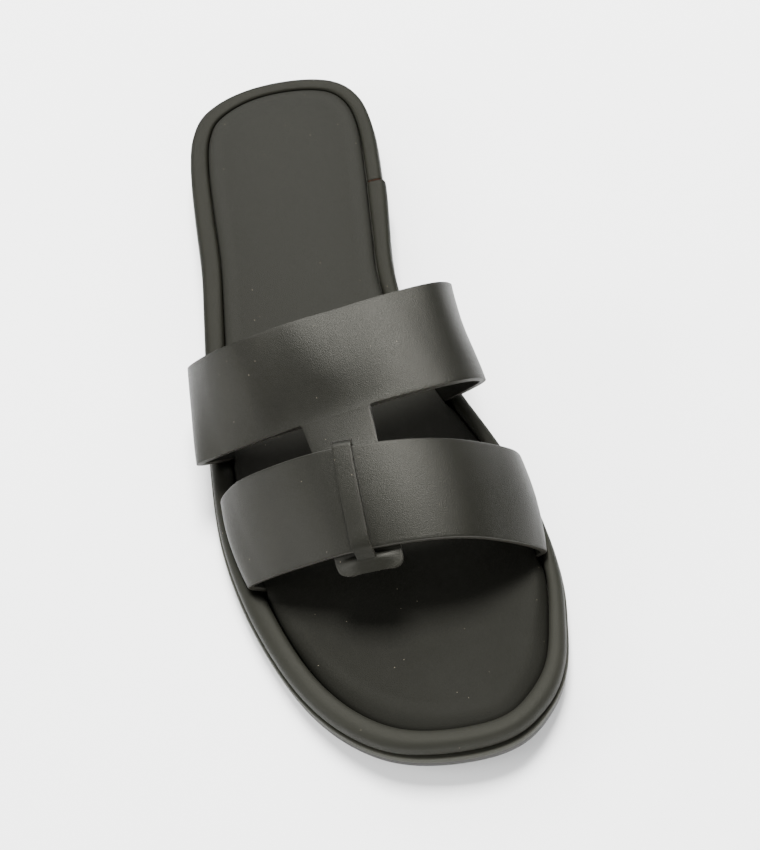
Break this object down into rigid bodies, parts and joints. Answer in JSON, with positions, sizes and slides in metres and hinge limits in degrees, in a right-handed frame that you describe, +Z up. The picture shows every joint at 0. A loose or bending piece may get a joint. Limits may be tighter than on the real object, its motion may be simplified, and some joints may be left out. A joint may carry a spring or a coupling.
{
  "type": "flat slide sandal",
  "caption": "Right-foot flat slide sandal: crowned footbed in a padded rim, with a toe strap and an instep strap held together by a keeper tab over a thin sole and low heel.",
  "frame": {"origin": "on the floor, under the centre of the whole shoe's box", "axes": "+Z up from the floor, +Y from toe to heel, +X towards the inner (medial) side of the foot; mm in the source, metres here"},
  "size_m": [0.093, 0.2608, 0.0492],
  "materials": {
    "outsole_rubber": "matt moulded sheet rubber, charcoal",
    "heel_rubber": "matt moulded rubber, charcoal",
    "midsole_wrap": "satin coated synthetic leather wrapped round the board, charcoal",
    "rim_wrap": "satin coated synthetic leather over a foam roll, charcoal",
    "footbed_cover": "fine-grained coated synthetic leather over foam, charcoal",
    "strap_hide": "satin fine-grained coated synthetic leather with bare cut edges, charcoal"
  },
  "bodies": {
    "root": {"outsole": "outsole_rubber", "heel": "heel_rubber", "midsole": "midsole_wrap", "rim": "rim_wrap", "insole": "footbed_cover", "upper": "strap_hide"}
  },
  "joints": []
}
